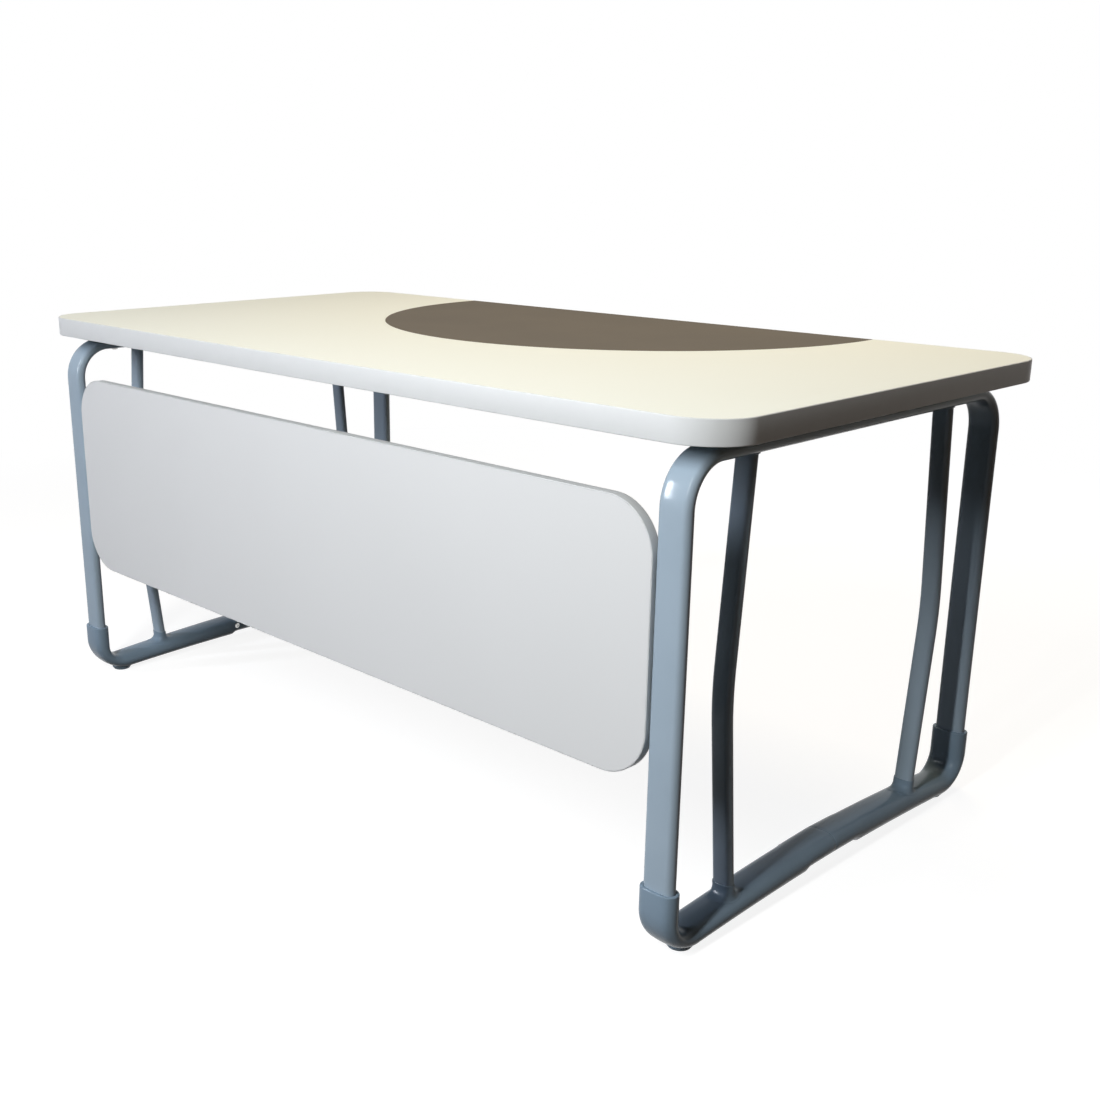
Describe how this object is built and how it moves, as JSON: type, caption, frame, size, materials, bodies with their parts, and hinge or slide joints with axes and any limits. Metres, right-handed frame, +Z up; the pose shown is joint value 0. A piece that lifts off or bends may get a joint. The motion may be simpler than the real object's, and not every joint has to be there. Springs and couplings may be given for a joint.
{
  "type": "office desk",
  "caption": "Office desk: bow-fronted laminate top with a half-round dark inlay, looped oval-tube leg frames with bowed struts and moulded feet, and a round-cornered modesty panel.",
  "frame": {"origin": "on the floor under the middle of the desktop", "axes": "+X along the desk's length to the right of a visitor who faces it, -Y towards the visitor's side with the modesty panel, +Z up"},
  "size_m": [1.6, 0.824, 0.72],
  "materials": {
    "laminate": "cream high-pressure laminate with a fine satin texture",
    "inlay": "dark grey-brown writing inlay, matt",
    "edging": "pale grey edge band, satin",
    "panel": "light grey melamine, satin",
    "paint": "blue-grey powder coat, semi-gloss",
    "casting": "blue-grey coated casting, satin",
    "steel": "zinc-plated steel",
    "nylon": "black nylon"
  },
  "bodies": {
    "desk": {"desktop_board": "laminate", "desktop_edge_band": "edging", "left_front_foot": "casting", "left_front_glide_bush": "steel", "left_front_joiner_screw": "steel", "left_front_spacer": "nylon", "left_front_strut": "paint", "left_front_top_screw": "steel", "left_hoop": "paint", "left_joiner": "steel", "left_lower_panel_screw": "steel", "left_lower_post_screw": "steel", "left_lower_strap": "paint", "left_middle_spacer": "nylon", "left_middle_top_screw": "steel", "left_rear_foot": "casting", "left_rear_glide_bush": "steel", "left_rear_joiner_screw": "steel", "left_rear_spacer": "nylon", "left_rear_strut": "paint", "left_rear_top_screw": "steel", "left_upper_panel_screw": "steel", "left_upper_post_screw": "steel", "left_upper_strap": "paint", "modesty_panel": "panel", "panel_edge_band": "edging", "right_front_foot": "casting", "right_front_glide_bush": "steel", "right_front_joiner_screw": "steel", "right_front_spacer": "nylon", "right_front_strut": "paint", "right_front_top_screw": "steel", "right_hoop": "paint", "right_joiner": "steel", "right_lower_panel_screw": "steel", "right_lower_post_screw": "steel", "right_lower_strap": "paint", "right_middle_spacer": "nylon", "right_middle_top_screw": "steel", "right_rear_foot": "casting", "right_rear_glide_bush": "steel", "right_rear_joiner_screw": "steel", "right_rear_spacer": "nylon", "right_rear_strut": "paint", "right_rear_top_screw": "steel", "right_upper_panel_screw": "steel", "right_upper_post_screw": "steel", "right_upper_strap": "paint", "writing_inlay": "inlay"},
    "left_front_glide": {"left_front_glide_base": "nylon", "left_front_glide_stud": "steel"},
    "left_rear_glide": {"left_rear_glide_base": "nylon", "left_rear_glide_stud": "steel"},
    "right_front_glide": {"right_front_glide_base": "nylon", "right_front_glide_stud": "steel"},
    "right_rear_glide": {"right_rear_glide_base": "nylon", "right_rear_glide_stud": "steel"}
  },
  "joints": [
    {"name": "left_front_glide_height", "type": "slide", "parent": "desk", "child": "left_front_glide", "axis": [0, 0, -1], "range_m": [0, 0.008]},
    {"name": "left_rear_glide_height", "type": "slide", "parent": "desk", "child": "left_rear_glide", "axis": [0, 0, -1], "range_m": [0, 0.008]},
    {"name": "right_front_glide_height", "type": "slide", "parent": "desk", "child": "right_front_glide", "axis": [0, 0, -1], "range_m": [0, 0.008]},
    {"name": "right_rear_glide_height", "type": "slide", "parent": "desk", "child": "right_rear_glide", "axis": [0, 0, -1], "range_m": [0, 0.008]}
  ]
}
